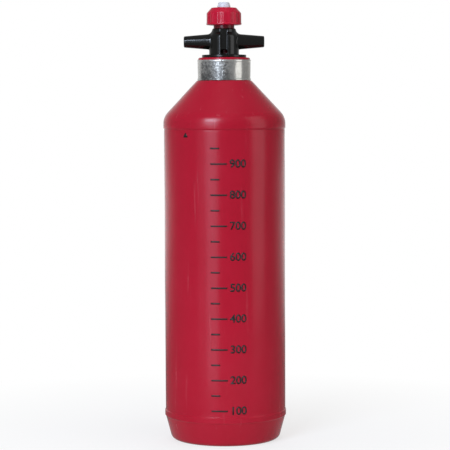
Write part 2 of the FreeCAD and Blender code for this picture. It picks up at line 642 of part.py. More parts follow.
def cut_channels(body):
    """A flat-sided channel down the back of the barrel, flush with the collar, and its twin at the front."""
    sketch = new_sketch(body, "channel_section", "XY_Plane")
    sketch.setExpression("AttachmentOffset.Base.z", reference("flange_top"))
    half = number("channel_half")
    reach = number("channel_reach")
    floor = math.sqrt(number("collar_radius") ** 2 - half ** 2)
    corners = [FreeCAD.Vector(half, floor, 0), FreeCAD.Vector(half, reach, 0),
               FreeCAD.Vector(-half, reach, 0), FreeCAD.Vector(-half, floor, 0)]
    for start, finish in zip(corners, corners[1:]):
        sketch.addGeometry(Part.LineSegment(start, finish), False)
    sketch.addGeometry(arc_between(corners[3], corners[0], number("collar_radius"), RIGHT_TURN), False)
    right, outside, left, inside = range(4)
    sketch.addConstraint(Sketcher.Constraint("Coincident", right, 2, outside, 1))
    sketch.addConstraint(Sketcher.Constraint("Coincident", outside, 2, left, 1))
    sketch.addConstraint(Sketcher.Constraint("Coincident", left, 2, inside, 2))
    sketch.addConstraint(Sketcher.Constraint("Coincident", inside, 1, right, 1))
    sketch.addConstraint(Sketcher.Constraint("Coincident", inside, 3, -1, 1))
    sketch.addConstraint(Sketcher.Constraint("Vertical", right))
    sketch.addConstraint(Sketcher.Constraint("Vertical", left))
    pin(sketch, outside, 1, ("channel_half", "channel_reach"))
    pin(sketch, outside, 2, ("-channel_half", "channel_reach"))
    hold(sketch, "Radius", inside, "collar_radius")
    pocket = body.newObject("PartDesign::Pocket", "channel")
    pocket.Profile = sketch
    pocket.Type = "Length"
    pocket.setExpression("Length", f"{reference('collar_top')} - {reference('flange_top')}")
    pocket.Reversed = True
    doc.recompute()
    pattern = body.newObject("PartDesign::PolarPattern", "channels")
    pattern.Originals = [pocket]
    pattern.Axis = (origin_feature(body, "Z_Axis"), [""])
    pattern.Angle = FULL_TURN
    pattern.Occurrences = 2
    body.Tip = pattern
    doc.recompute()


def cut_ports(body):
    """A slot with round ends, straight through the barrel from front to back."""
    sketch = new_sketch(body, "port_section", "XZ_Plane")
    draw(sketch, [
        ("-port_side", "port_low"),
        ("port_side", "port_low", HALF_CIRCLE, LEFT_TURN),
        ("port_side", "port_high"),
        ("-port_side", "port_high", HALF_CIRCLE, LEFT_TURN),
    ])
    pocket = body.newObject("PartDesign::Pocket", "ports")
    pocket.Profile = sketch
    pocket.Type = "ThroughAll"
    pocket.Midplane = True
    doc.recompute()


# Seat, seal, disc and clip

def make_valve_seat():
    return turned_body("valve_seat", [
        ("seat_hole_radius", "seat_lip_low"),
        ("seat_lip_radius", "seat_lip_low"),
        ("seat_lip_radius", "spigot_low"),
        ("seat_radius", "spigot_low"),
        ("seat_radius", "seat_top"),
        ("seat_hole_radius", "seat_top"),
    ])


def make_valve_seal():
    return turned_body("valve_seal", [
        ("tail_hole_radius", "seal_low"),
        ("seal_radius", "seal_low"),
        ("seal_radius", "seat_lip_low"),
        ("tail_hole_radius", "seat_lip_low"),
    ])


def make_valve_disc():
    return turned_body("valve_disc", [
        ("tail_hole_radius", "disc_low"),
        ("disc_radius", "disc_low"),
        ("disc_radius", "seal_low"),
        ("tail_hole_radius", "seal_low"),
    ])


def make_disc_clip():
    body = turned_body("disc_clip", [
        ("clip_hole_radius", "clip_low"),
        ("clip_radius", "clip_low"),
        ("clip_radius", "disc_low"),
        ("clip_hole_radius", "disc_low"),
    ])
    sketch = new_sketch(body, "clip_gap_section", "XY_Plane")
    sketch.setExpression("AttachmentOffset.Base.z", reference("clip_low"))
    draw(sketch, [
        (0, "-clip_gap_half"),
        ("clip_diameter", "-clip_gap_half"),
        ("clip_diameter", "clip_gap_half"),
        (0, "clip_gap_half"),
    ])
    pocket = body.newObject("PartDesign::Pocket", "clip_opening")
    pocket.Profile = sketch
    pocket.Type = "ThroughAll"
    pocket.Reversed = True
    doc.recompute()
    return body


# Stem, cap, O-ring and washers

def make_valve_stem():
    body = turned_body("valve_stem", [
        (0, "tail_low"),
        ("tail_radius", "tail_low"),
        ("tail_radius", "clip_low"),
        ("clip_groove_radius", "clip_low"),
        ("clip_groove_radius", "disc_low"),
        ("tail_radius", "disc_low"),
        ("tail_radius", "seat_lip_low"),
        ("stem_radius", "seat_lip_low"),
        ("stem_radius", "screw_low"),
        ("screw_core_radius", "screw_low"),
        ("screw_core_radius", "stem_top"),
        (0, "stem_top"),
    ])
    ridge(body, "stem_ridge", "stem_ridge_start", "screw_foot_radius", "stem_radius",
          ("screw_base_half", "screw_crest_half"), "screw_pitch", "stem_ridge_climb")
    return body


def make_stem_cap():
    body = turned_body("stem_cap", [
        ("socket_radius", "cap_low"),
        ("cap_radius", "cap_low"),
        ("cap_radius", "knob_top"),
        ("cap_tip_radius", "cap_top"),
        (0, "cap_top"),
        (0, "stem_top"),
        ("socket_radius", "stem_top"),
    ])
    rounded(body, "cap_round", "cap_rounding", [("cap_tip_radius", "cap_top")])
    return body


def make_stem_oring():
    ring = doc.addObject("Part::Torus", "stem_oring")
    ring.Label = "stem_oring"
    ring.setExpression("Radius1", reference("oring_curve"))
    ring.setExpression("Radius2", reference("oring_half"))
    ring.setExpression("Placement.Base.z", reference("oring_level"))
    return ring


def make_gland_washer():
    return turned_body("gland_washer", [
        ("washer_hole_radius", "counterbore_floor"),
        ("gland_washer_radius", "counterbore_floor"),
        ("gland_washer_radius", "gland_washer_top"),
        ("washer_hole_radius", "gland_washer_top"),
    ])


def make_thrust_washer():
    return turned_body("thrust_washer", [
        ("washer_hole_radius", "thrust_low"),
        ("thrust_radius", "thrust_low"),
        ("thrust_radius", "web_low"),
        ("washer_hole_radius", "web_low"),
    ])


def make_return_spring():
    body = new_body("return_spring")
    sketch = new_sketch(body, "wire_section", "XZ_Plane")
    sketch.setExpression("AttachmentOffset.Base.y", reference("spring_start"))
    draw_circle(sketch, "spring_curve", 0, "spring_half_wire")
    pitch = f"{reference('spring_climb')} / {reference('spring_turns')}"
    helix(body, "coil", sketch, pitch, "spring_climb")
    return body


# Knob

def make_lock_knob():
    body = turned_body("lock_knob", [
        ("hub_bore_radius", "hub_low"),
        ("hub_radius", "hub_low"),
        ("hub_radius", "core_top"),
        ("core_radius", "core_top"),
        ("core_radius", "knob_low"),
        ("knob_radius", "knob_low"),
        ("knob_upper_radius", "crown_low"),
        ("crown_radius", "knob_top"),
        ("recess_radius", "knob_top"),
        ("recess_radius", "web_high"),
        ("web_bore_radius", "web_high"),
        ("web_bore_radius", "web_low"),
        ("hub_bore_radius", "web_low"),
    ])
    rounded(body, "crown_round", "crown_rounding", [("crown_radius", "knob_top")])
    cut_flutes(body)
    ridge(body, "web_ridge", "web_ridge_start", "web_foot_radius", "web_crest_radius",
          ("screw_base_half", "screw_crest_half"), "screw_pitch", "web_ridge_climb")
    return body


def cut_flutes(body):
    """Shallow round flutes up the knob's side, with a ridge between two flutes at the front."""
    sketch = new_sketch(body, "flute_section", "XY_Plane")
    sketch.setExpression("AttachmentOffset.Base.z", reference("flute_low"))
    draw_circle(sketch, "flute_x", "flute_y", "flute_radius")
    pocket = body.newObject("PartDesign::Pocket", "flute")
    pocket.Profile = sketch
    pocket.Type = "ThroughAll"
    pocket.Reversed = True
    doc.recompute()
    pattern = body.newObject("PartDesign::PolarPattern", "flutes")
    pattern.Originals = [pocket]
    pattern.Axis = (origin_feature(body, "Z_Axis"), [""])
    pattern.Angle = FULL_TURN
    pattern.setExpression("Occurrences", reference("flute_count"))
    body.Tip = pattern
    doc.recompute()


# Build, check and write

def check_document(pieces):
    for item in doc.Objects:
        if "Invalid" in item.State or "Error" in item.State:
            raise RuntimeError(f"{item.Label} failed: {item.State}")
    for piece in pieces:
        if piece.Shape.isNull() or not piece.Shape.isValid():
            raise RuntimeError(f"{piece.Label} has no valid shape")
        if len(piece.Shape.Solids) != 1:
            raise RuntimeError(f"{piece.Label} has {len(piece.Shape.Solids)} solids")


def main():
    fill_sheet("Sizes", [(alias, str(value), note) for alias, value, note in SIZES])
    fill_sheet("Layout", [(alias, f"={formula}", "worked out") for alias, formula in LAYOUT])
    pieces = [
        make_bottle_shell(),
        make_neck_ferrule(),
        make_neck_gasket(),
        make_valve_housing(),
        make_valve_seat(),
        make_valve_seal(),
        make_valve_disc(),
        make_disc_clip(),
        make_valve_stem(),
        make_stem_cap(),
        make_stem_oring(),
        make_gland_washer(),
        make_thrust_washer(),
        make_return_spring(),
        make_lock_knob(),
    ]
    doc.recompute()
    check_document(pieces)
    os.makedirs("parts", exist_ok=True)
    for piece in pieces:
        piece.Shape.exportStep(os.path.join("parts", f"{piece.Label}.step"))
        box = piece.Shape.BoundBox
        print(f"{piece.Label}: {piece.Shape.Volume:.1f} mm3, z {box.ZMin:.2f} to {box.ZMax:.2f}")


main()
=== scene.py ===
import math

import bmesh
import bpy
import numpy as np
import openvdb
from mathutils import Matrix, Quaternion, Vector


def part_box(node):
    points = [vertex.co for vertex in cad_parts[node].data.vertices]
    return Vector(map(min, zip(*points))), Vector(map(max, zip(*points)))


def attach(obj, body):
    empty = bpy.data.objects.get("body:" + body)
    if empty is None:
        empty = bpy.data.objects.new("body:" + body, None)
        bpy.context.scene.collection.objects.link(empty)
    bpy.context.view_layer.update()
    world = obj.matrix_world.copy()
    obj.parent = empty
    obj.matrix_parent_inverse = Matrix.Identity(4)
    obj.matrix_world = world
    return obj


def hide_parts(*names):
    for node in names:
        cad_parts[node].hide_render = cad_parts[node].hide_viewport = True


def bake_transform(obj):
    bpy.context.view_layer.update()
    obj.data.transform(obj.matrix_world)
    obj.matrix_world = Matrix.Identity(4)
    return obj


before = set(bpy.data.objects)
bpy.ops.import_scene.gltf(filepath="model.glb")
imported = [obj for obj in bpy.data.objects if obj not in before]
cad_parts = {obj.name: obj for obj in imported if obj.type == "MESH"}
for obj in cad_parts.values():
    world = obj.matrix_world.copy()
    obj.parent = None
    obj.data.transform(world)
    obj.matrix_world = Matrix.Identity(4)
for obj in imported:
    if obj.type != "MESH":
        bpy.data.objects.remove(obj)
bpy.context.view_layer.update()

# A one-litre camping fuel bottle. The shapes are written in millimetres, in the frame of the model, and become
# metres when a mesh is made. Materials, camera, floor and lamps are in metres.

MM = 0.001
FULL_TURN = 2 * math.pi

# Bottle: radii and heights
DOME_RISE = 4.0
FOOT_INNER = 29.0
HEEL = 36.7
WALL_OUTER = 41.0
WALL = 1.7
RING_OUTER = 41.6
RING_LOW = 16.0
RING_HIGH = 20.5
RING_BEVEL = 0.6
SHOULDER = 212.2
GROOVE = 40.93
BEAD = 41.5
CONE_FOOT_RADIUS = 41.54
CONE_FOOT = 220.14
CONE_FOOT_ROUNDING = 12.0
CONE_TOP_RADIUS = 18.55
CONE_TOP = 244.9
NECK_OUTER = 17.35
NECK_BORE = 13.7
LIP_OVERHANG = 0.3
LIP_LOW = 258.65
LIP_TOP = 260.5
LIP_ROUNDING = 1.1
GASKET_SEAT = 14.5
GASKET_LOW = 258.9
INNER_FOOT = 29.23
INNER_HEEL = 35.4
INNER_WALL_LOW = 16.22
INNER_CONE_FOOT = 219.86
INNER_CONE_TOP = 247.6

# Threads of the neck and the spigot, half a turn apart
THREAD_PITCH = 3.0
THREAD_HIGH = 257.75
SPIGOT_THREAD_LOW = 247.307
NECK_THREAD_LOW = SPIGOT_THREAD_LOW + THREAD_PITCH / 2
THREAD_DEPTH = 1.1
THREAD_SUNK = 0.2
THREAD_FOOT_HALF = 0.85
THREAD_CREST_HALF = 0.4

# How a thread's ends die away, and how its crest is rounded
RUN_OUT_TURNS = 0.12
RUN_OUT_SHARE = 0.15
CORNER_SHARE = 0.8
CREST_FLAT_SHARE = 0.7

# Knob and cap: levels that both use
KNOB_TOP = 294.2


# Meshes

ARC_STEP = math.radians(9)
WELD_REACH = 1e-8


def even_angles(count):
    return FULL_TURN * np.arange(count) / count


def rounded_chain(corners, longest):
    """Points along straight runs with rounded corners, none further apart than the longest step.

    A corner is (radius, height) or (radius, height, rounding)."""
    points = [np.array(corners[0][:2], float)]
    for before, corner, after in zip(corners, corners[1:], corners[2:]):
        here = np.array(corner[:2], float)
        if len(corner) == 2:
            points.append(here)
            continue
        rounding = corner[2]
        back = np.array(before[:2]) - here
        on = np.array(after[:2]) - here
        back /= np.linalg.norm(back)
        on /= np.linalg.norm(on)
        half = math.acos(np.clip(back @ on, -1, 1)) / 2
        middle = (back + on) / np.linalg.norm(back + on)
        centre = here + middle * rounding / math.sin(half)
        reach = rounding / math.tan(half)
        first = here + back * reach - centre
        last = here + on * reach - centre
        start = math.atan2(first[1], first[0])
        turn = math.atan2(first[0] * last[1] - first[1] * last[0], first @ last)
        count = max(2, math.ceil(abs(turn) / ARC_STEP))
        for angle in start + turn * np.arange(count + 1) / count:
            points.append(centre + rounding * np.array([math.cos(angle), math.sin(angle)]))
    points.append(np.array(corners[-1][:2], float))
    divided = [points[0]]
    for start, finish in zip(points, points[1:]):
        count = max(1, math.ceil(np.linalg.norm(finish - start) / longest))
        divided += [start + (finish - start) * share for share in np.arange(1, count + 1) / count]
    return np.array(divided)


def turned(chain, angles, closed, shape=None):
    """Vertices and faces of a chain turned about Z. shape can change the radii and heights."""
    rows, columns = len(chain), len(angles)
    radius = np.repeat(chain[:, :1], columns, axis=1)
    height = np.repeat(chain[:, 1:], columns, axis=1)
    angle = np.repeat(angles[None, :], rows, axis=0)
    if shape:
        radius, height = shape(radius, height, angle)
    vertices = np.stack([radius * np.cos(angle), radius * np.sin(angle), height], axis=-1).reshape(-1, 3)
    row = np.arange(rows if closed else rows - 1)[:, None]
    column = np.arange(columns)[None, :]
    below, above = row * columns, (row + 1) % rows * columns
    beside = (column + 1) % columns
    faces = np.stack([below + column, below + beside, above + beside, above + column], axis=-1).reshape(-1, 4)
    return vertices, faces.tolist()


def waves(angle, height, rows):
    """Overlapping waves. A row is depth, lobes round the axis, length up it, start, and length of the swell."""
    total = 0
    for depth, lobes, length, start, swell in rows:
        total = total + depth * np.sin(lobes * angle + height / length + start) * np.cos(height / swell)
    return total


def on_outside(shape, rows):
    """One on the first rows of a chain, which are its outside, and zero on the others."""
    outside = np.zeros(shape)
    outside[:rows] = 1
    return outside


def swept_faces(steps, corners):
    """Faces of a section that moves along in steps, with both ends closed."""
    faces = [list(range(corners)), list(range(steps * corners, (steps + 1) * corners))]
    for step in range(steps):
        here, there = step * corners, (step + 1) * corners
        for corner in range(corners):
            following = (corner + 1) % corners
            faces.append([here + corner, here + following, there + following, there + corner])
    return faces


def thread(low, high, pitch, foot, crest, foot_half, crest_half, steps=60):
    """Vertices and faces of a thread ridge that winds up about Z and dies away at both ends."""
    climb = high - low
    count = round(climb / pitch * steps)
    travel = np.arange(count + 1) / count
    angle = FULL_TURN * climb / pitch * travel
    from_end = np.minimum(travel, 1 - travel) * climb / pitch
    full = np.clip(from_end / RUN_OUT_TURNS, 0, 1)
    height = low + climb * travel
    top = foot + (crest - foot) * (RUN_OUT_SHARE + (1 - RUN_OUT_SHARE) * full)
    near = foot + (top - foot) * CORNER_SHARE
    near_half = crest_half + (foot_half - crest_half) * (1 - CORNER_SHARE)
    sunk = np.full_like(travel, foot)
    section = [
        (sunk, -foot_half),
        (near, -near_half),
        (top, -crest_half * CREST_FLAT_SHARE),
        (top, crest_half * CREST_FLAT_SHARE),
        (near, near_half),
        (sunk, foot_half),
    ]
    rings = [np.stack([r * np.cos(angle), r * np.sin(angle), height + rise], axis=-1) for r, rise in section]
    return np.stack(rings, axis=1).reshape(-1, 3), swept_faces(count, len(section))


def wire_rings(places, half_wire, sides):
    """Rings of points round a wire that winds about Z."""
    ahead = np.gradient(places, axis=0)
    ahead /= np.linalg.norm(ahead, axis=1, keepdims=True)
    outward = places * (1, 1, 0)
    outward /= np.linalg.norm(outward, axis=1, keepdims=True)
    upward = np.cross(ahead, outward)
    angle = even_angles(sides)[None, :, None]
    return places[:, None] + half_wire * (np.cos(angle) * outward[:, None] + np.sin(angle) * upward[:, None])


def make_piece(name, parts, body, material, replaced=None):
    """One object from several sets of vertices and faces, riding on a body if one is named."""
    vertices, faces, offset = [], [], 0
    for part_vertices, part_faces in parts:
        vertices.append(np.asarray(part_vertices))
        faces += [[index + offset for index in face] for face in part_faces]
        offset += len(part_vertices)
    mesh = bpy.data.meshes.new(name)
    mesh.from_pydata((np.concatenate(vertices) * MM).tolist(), [], faces)
    shaped = bmesh.new()
    shaped.from_mesh(mesh)
    bmesh.ops.remove_doubles(shaped, verts=shaped.verts, dist=WELD_REACH)
    bmesh.ops.recalc_face_normals(shaped, faces=shaped.faces)
    shaped.to_mesh(mesh)
    shaped.free()
    mesh.shade_smooth()
    mesh.materials.append(material)
    piece = bpy.data.objects.new(name, mesh)
    bpy.context.scene.collection.objects.link(piece)
    if body:
        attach(piece, body)
    if replaced:
        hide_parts(replaced)
    return piece


def sharpen(piece, degrees):
    """Keep edges that turn more than an angle crisp."""
    piece.data.set_sharp_from_angle(angle=math.radians(degrees))


# Materials

# Noise scales of moulded plastic, in waves per metre, and the depth of its grain in metres
CLOUD_SCALE = 45
SCRATCH_SCALE = 260
GLOSS_SCALE = 130
GRAIN_SCALE = 700
GRAIN_DEPTH = 0.00002

# How upright scratches are drawn out, and how much of them shows in the colour and in the gloss
SCRATCH_STRETCH = (1, 1, 0.06)
SCRATCH_COLOUR_SHARE = 0.35
SCRATCH_ROUGHNESS = 0.08

# Painted shade on the lower end of the knob's hub, below the knob's rim
HUB_SHADE_COLOUR = (0.03, 0.006, 0.007)
HUB_SHADE_SHARE = 0.7
HUB_SHADE_EDGE = 0.0005

# Places on the ferrule's face, in metres: across its left edge, drawn brighter as a painted reflection, from
# its rough to its smooth side, and about its rim, drawn brighter as a painted highlight
FACE_LEFT_EDGE = (-0.0161, -0.0151)
FACE_SMOOTHING = (0.001, 0.008)
FACE_FOOT_SHADE = (0.001, 0.007)
FACE_RIM_EDGE = 0.0003


def new_material(name):
    material = bpy.data.materials.new(name)
    material.use_nodes = True
    return material, material.node_tree, material.node_tree.nodes["Principled BSDF"]


def noise(tree, scale, detail=3.0, stretch=(1, 1, 1), roughness=0.55):
    """A noise whose scale is in waves per metre, in the frame of the model."""
    place = tree.nodes.new("ShaderNodeTexCoord")
    mapping = tree.nodes.new("ShaderNodeMapping")
    mapping.inputs["Scale"].default_value = stretch
    texture = tree.nodes.new("ShaderNodeTexNoise")
    texture.inputs["Scale"].default_value = scale
    texture.inputs["Detail"].default_value = detail
    texture.inputs["Roughness"].default_value = roughness
    tree.links.new(place.outputs["Object"], mapping.inputs["Vector"])
    tree.links.new(mapping.outputs["Vector"], texture.inputs["Vector"])
    return texture.outputs["Fac"]


def spread(tree, value, low, high, from_low=0.3, from_high=0.7):
    """The value's range, by default the usual one of a noise, mapped to another one."""
    node = tree.nodes.new("ShaderNodeMapRange")
    node.inputs["From Min"].default_value = from_low
    node.inputs["From Max"].default_value = from_high
    node.inputs["To Min"].default_value = low
    node.inputs["To Max"].default_value = high
    tree.links.new(value, node.inputs["Value"])
    return node.outputs["Result"]


def combine(tree, operation, first, second):
    node = tree.nodes.new("ShaderNodeMath")
    node.operation = operation
    for socket, value in zip(node.inputs, (first, second)):
        if isinstance(value, (int, float)):
            socket.default_value = value
        else:
            tree.links.new(value, socket)
    return node.outputs["Value"]


def mix_colour(tree, share, first, second):
    node = tree.nodes.new("ShaderNodeMix")
    node.data_type = "RGBA"
    tree.links.new(share, node.inputs[0])
    colours = [socket for socket in node.inputs if socket.type == "RGBA"]
    for socket, value in zip(colours, (first, second)):
        if isinstance(value, tuple):
            socket.default_value = (*value, 1)
        else:
            tree.links.new(value, socket)
    return next(socket for socket in node.outputs if socket.type == "RGBA")


def bump(tree, shader, height, distance):
    node = tree.nodes.new("ShaderNodeBump")
    node.inputs["Distance"].default_value = distance
    node.inputs["Strength"].default_value = 1.0
    tree.links.new(height, node.inputs["Height"])
    tree.links.new(node.outputs["Normal"], shader.inputs["Normal"])


def place_in_model(tree, axis):
    place = tree.nodes.new("ShaderNodeTexCoord")
    parts = tree.nodes.new("ShaderNodeSeparateXYZ")
    tree.links.new(place.outputs["Object"], parts.inputs["Vector"])
    return parts.outputs[axis]


def plastic(name, colour, deeper, rough_low, rough_high, scuffs=0.0, shine=0.5, shaded_below=None):
    """Moulded plastic: soft shifts of colour, a fine grain and a worn gloss.

    It can have faint pale scuffs, and a painted shade below a height."""
    material, tree, shader = new_material(name)
    shader.inputs["Specular IOR Level"].default_value = shine
    clouds = spread(tree, noise(tree, CLOUD_SCALE, detail=4), 0, 1)
    shade = mix_colour(tree, clouds, colour, deeper)
    scratch = spread(tree, noise(tree, SCRATCH_SCALE, detail=6, stretch=SCRATCH_STRETCH), 0, 1, 0.62, 0.74)
    if scuffs:
        pale = tuple(channel + scuffs for channel in colour)
        shade = mix_colour(tree, combine(tree, "MULTIPLY", scratch, SCRATCH_COLOUR_SHARE), shade, pale)
    if shaded_below:
        # Painted shade: the colour is darker below the given height
        up = place_in_model(tree, "Z")
        painted_shade = spread(tree, up, HUB_SHADE_SHARE, 0, shaded_below - HUB_SHADE_EDGE, shaded_below + HUB_SHADE_EDGE)
        shade = mix_colour(tree, painted_shade, shade, HUB_SHADE_COLOUR)
    tree.links.new(shade, shader.inputs["Base Color"])
    gloss = spread(tree, noise(tree, GLOSS_SCALE, detail=5), rough_low, rough_high)
    gloss = combine(tree, "ADD", gloss, combine(tree, "MULTIPLY", scratch, SCRATCH_ROUGHNESS))
    tree.links.new(gloss, shader.inputs["Roughness"])
    bump(tree, shader, noise(tree, GRAIN_SCALE, detail=2), GRAIN_DEPTH)
    return material


def metal(name, bright, dull, rough_low, rough_high, grain, dents=0.0001, metallic=1.0, face=None):
    """Plated sheet metal, mottled and dented.

    Where a face between two heights is given, its foot is darker, the rim above it is brighter as a painted
    highlight, its left edge is brighter as a painted reflection, and its right side is smoother than its left
    one."""
    material, tree, shader = new_material(name)
    shader.inputs["Metallic"].default_value = metallic
    mottle = spread(tree, noise(tree, grain, detail=6, roughness=0.7), 0.3, 1, 0.4, 0.6)
    patches = spread(tree, noise(tree, grain * 0.5, detail=5), rough_low, rough_high)
    height = noise(tree, grain * 1.6, detail=3, roughness=0.6)
    if face:
        foot, top = face
        across = place_in_model(tree, "X")
        up = place_in_model(tree, "Z")
        # Painted reflection: the face's left edge is drawn in brighter metal
        left_edge = spread(tree, across, 0.1, 1.0, *FACE_LEFT_EDGE)
        shade = spread(tree, up, 0.3, 0.0, foot + FACE_FOOT_SHADE[0], foot + FACE_FOOT_SHADE[1])
        # Painted highlight: the rim above the face is drawn in brighter metal
        rim = spread(tree, up, 1.0, 0.3, top - FACE_RIM_EDGE, top + FACE_RIM_EDGE)
        mottle = combine(tree, "ADD", mottle, shade)
        for factor in (spread(tree, across, 1.0, 0.2, *FACE_SMOOTHING), left_edge, rim):
            mottle = combine(tree, "MULTIPLY", mottle, factor)
        patches = combine(tree, "MULTIPLY", patches, spread(tree, across, 1.0, 0.65, *FACE_SMOOTHING))
        for factor in (spread(tree, across, 1.0, 0.08, *FACE_SMOOTHING), left_edge):
            height = combine(tree, "MULTIPLY", height, factor)
    tree.links.new(mix_colour(tree, mottle, bright, dull), shader.inputs["Base Color"])
    tree.links.new(patches, shader.inputs["Roughness"])
    bump(tree, shader, height, dents)
    return material


bottle_red = plastic("bottle_red", (0.42, 0.006, 0.024), (0.4, 0.005, 0.021), 0.19, 0.25,
                     scuffs=0.05, shine=0.35)
knob_red = plastic("knob_red", (0.51, 0.004, 0.029), (0.48, 0.003, 0.026), 0.21, 0.27,
                   shine=0.42, shaded_below=0.2823)
stem_red = plastic("stem_red", (0.15, 0.01, 0.016), (0.12, 0.008, 0.013), 0.35, 0.45)
housing_black = plastic("housing_black", (0.005, 0.005, 0.004), (0.0042, 0.0042, 0.0035), 0.13, 0.17)
cap_white = plastic("cap_white", (0.68, 0.68, 0.72), (0.62, 0.62, 0.67), 0.32, 0.42)
natural_plastic = plastic("natural_plastic", (0.72, 0.69, 0.6), (0.66, 0.62, 0.52), 0.35, 0.5)
black_rubber = plastic("black_rubber", (0.02, 0.02, 0.021), (0.014, 0.014, 0.015), 0.55, 0.75)
print_black = plastic("print_black", (0.016, 0.012, 0.013), (0.011, 0.009, 0.01), 0.42, 0.55)
ferrule_metal = metal("ferrule_metal", (0.72, 0.705, 0.66), (0.16, 0.158, 0.152), 0.2, 0.3,
                      grain=620, dents=0.0002, metallic=0.78, face=(0.2462, 0.2577))
small_steel = metal("small_steel", (0.62, 0.62, 0.63), (0.46, 0.46, 0.47), 0.2, 0.36, grain=900)


# Bottle shell

# Waves of the blown wall, as rows for waves, and the heights near which they die away
WALL_WAVES = (
    (0.05, 3, 21, 0, math.inf),
    (0.035, 5, -13, 1, math.inf),
    (0.03, 2, 7.3, 2, 31),
)
WAVES_LOW = 6
WAVES_HIGH = 250
WAVES_GROW = 12

# The stretch about the shoulder's bead that has no waves
BEAD_MIDDLE = 1.6
BEAD_CLEAR = 2.8
BEAD_FADE = 4

# The mould's parting line up both sides, and the pinched line across the base
LINE_RISE = 0.11
LINE_HALF = 0.32
LINE_LOW = 0.2
LINE_GROW = 3
LINE_END = 0.4
LINE_ANGLE_STEPS = (0.2, 0.42, 0.7)
RING_MARGIN = 0.04
PINCH_DEPTH = 0.45
PINCH_HALF = 0.55
PINCH_LOW = 0.5
PINCH_HIGH = 4.2
PINCH_REACH = 27


def dome_points(edge, rise, base, count):
    """From the middle of a shallow dome out to its edge."""
    curve = (edge ** 2 + rise ** 2) / (2 * rise)
    radius = np.linspace(0, edge, count, endpoint=False)
    return [(r, base + rise - curve + math.sqrt(curve ** 2 - r ** 2)) for r in radius]


def seam_angles(count):
    """Even angles, with more of them beside the mould's parting line on the two sides."""
    steps = np.array(LINE_ANGLE_STEPS)
    beside = np.concatenate([-steps, [0], steps]) / WALL_OUTER
    angles = np.concatenate([even_angles(count), beside, math.pi + beside]) % FULL_TURN
    return np.unique(np.round(angles, 6))


def mould_marks(radius, height, angle):
    """The faint waves of a blown wall, the parting line of its mould and the pinched line across its base."""
    outside = on_outside(radius.shape, outer_rows)
    grown = np.clip((height - WAVES_LOW) / WAVES_GROW, 0, 1)
    upright = grown * np.clip((WAVES_HIGH - height) / WAVES_GROW, 0, 1) * outside
    across = np.abs(radius * np.sin(angle))
    line = LINE_RISE * np.exp(-(across / LINE_HALF) ** 2) * outside
    line_grown = np.clip((height - DOME_RISE - LINE_LOW) / LINE_GROW, 0, 1)
    side = line * line_grown * (height < CONE_TOP - LINE_END)
    off_bead = np.clip((np.abs(height - SHOULDER - BEAD_MIDDLE) - BEAD_CLEAR) / BEAD_FADE, 0, 1)
    radius = radius + upright * waves(angle, height, WALL_WAVES) * off_bead
    radius = np.where(outside > 0, np.minimum(radius + side, RING_OUTER - RING_MARGIN), radius)
    pinched = outside * (height > PINCH_LOW) * (height < PINCH_HIGH) * (radius < PINCH_REACH)
    return radius, height - PINCH_DEPTH * np.exp(-(across / PINCH_HALF) ** 2) * pinched


outer_chain = rounded_chain(dome_points(FOOT_INNER, DOME_RISE, 0, 22) + [
    (FOOT_INNER, 0, 1.6),
    (HEEL, 0, 4.0),
    (WALL_OUTER, RING_LOW, 0.6),
    (RING_OUTER, RING_LOW + RING_BEVEL, 0.5),
    (RING_OUTER, RING_HIGH - RING_BEVEL, 0.5),
    (WALL_OUTER, RING_HIGH, 0.6),
    (WALL_OUTER, SHOULDER - 1.2, 1.0),
    (GROOVE, SHOULDER - 0.1, 0.15),
    (BEAD, SHOULDER + 0.75, 0.8),
    (CONE_FOOT_RADIUS, CONE_FOOT, CONE_FOOT_ROUNDING),
    (CONE_TOP_RADIUS, CONE_TOP, 0.25),
    (NECK_OUTER, CONE_TOP, 0.2),
    (NECK_OUTER, LIP_LOW, 0.1),
    (NECK_OUTER + LIP_OVERHANG, LIP_LOW, 0.1),
    (NECK_OUTER + LIP_OVERHANG, LIP_TOP, LIP_ROUNDING),
    (GASKET_SEAT, LIP_TOP, 0.15),
    (GASKET_SEAT, GASKET_LOW, 0.1),
    (NECK_BORE, GASKET_LOW),
], longest=2.5)
inner_chain = rounded_chain([
    (NECK_BORE, GASKET_LOW),
    (NECK_BORE, INNER_CONE_TOP, 0.8),
    (WALL_OUTER - WALL, INNER_CONE_FOOT, 7.8),
    (WALL_OUTER - WALL, INNER_WALL_LOW, 2.0),
    (INNER_HEEL, WALL, 2.3),
    (INNER_FOOT, WALL, 0.8),
] + dome_points(INNER_FOOT, DOME_RISE, WALL, 12)[::-1], longest=8)
outer_rows = len(outer_chain)
shell_chain = np.concatenate([outer_chain, inner_chain[1:]])
shell = turned(shell_chain, seam_angles(180), False, mould_marks)
neck_thread = thread(NECK_THREAD_LOW, THREAD_HIGH, THREAD_PITCH, NECK_BORE + THREAD_SUNK,
                     NECK_BORE - THREAD_DEPTH, THREAD_FOOT_HALF, THREAD_CREST_HALF)
bottle = make_piece("bottle_skin", [shell, neck_thread], "bottle", bottle_red, "bottle_shell")
sharpen(bottle, 40)


# Ferrule

FERRULE = 18.2
FERRULE_INNER = NECK_OUTER + 0.05
FERRULE_START = 251.0
RIM_INNER = NECK_OUTER + 0.33
RIM_TOP = 259.0
RIM_LOW = LIP_LOW - 0.05
FACE_SUNK = 0.4
FACE_SUNK_TOP = 0.14
DENTS = ((0.03, 4, 3, 0, math.inf), (0.02, 9, -2, 1, math.inf))


def ferrule_dents(radius, height, angle):
    """Shallow dents in the outside of the ring."""
    return radius + waves(angle, height, DENTS) * (radius > NECK_OUTER + LIP_OVERHANG), height


